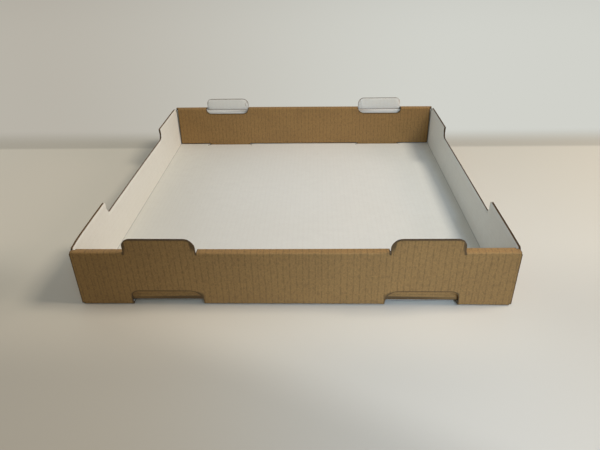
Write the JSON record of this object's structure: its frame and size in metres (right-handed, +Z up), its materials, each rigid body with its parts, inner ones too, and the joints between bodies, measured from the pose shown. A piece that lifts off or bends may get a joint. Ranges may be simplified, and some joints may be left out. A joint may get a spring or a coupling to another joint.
{
  "type": "cardboard tray box",
  "caption": "Open stacking tray of corrugated board, folded from one blank, with rolled end walls, stacking lugs, foot openings and stepped side walls.",
  "frame": {"origin": "centre of the tray's underside, midway between the four walls", "axes": "+Z up out of the open top, +Y from the front rolled wall to the back rolled wall, +X to the right seen from the front"},
  "size_m": [0.4524, 0.4668, 0.08],
  "materials": {
    "board": "matt brown kraft outside, matt white liner inside, raw fluted cut edges"
  },
  "bodies": {
    "root": {"tray": "board"}
  },
  "joints": []
}
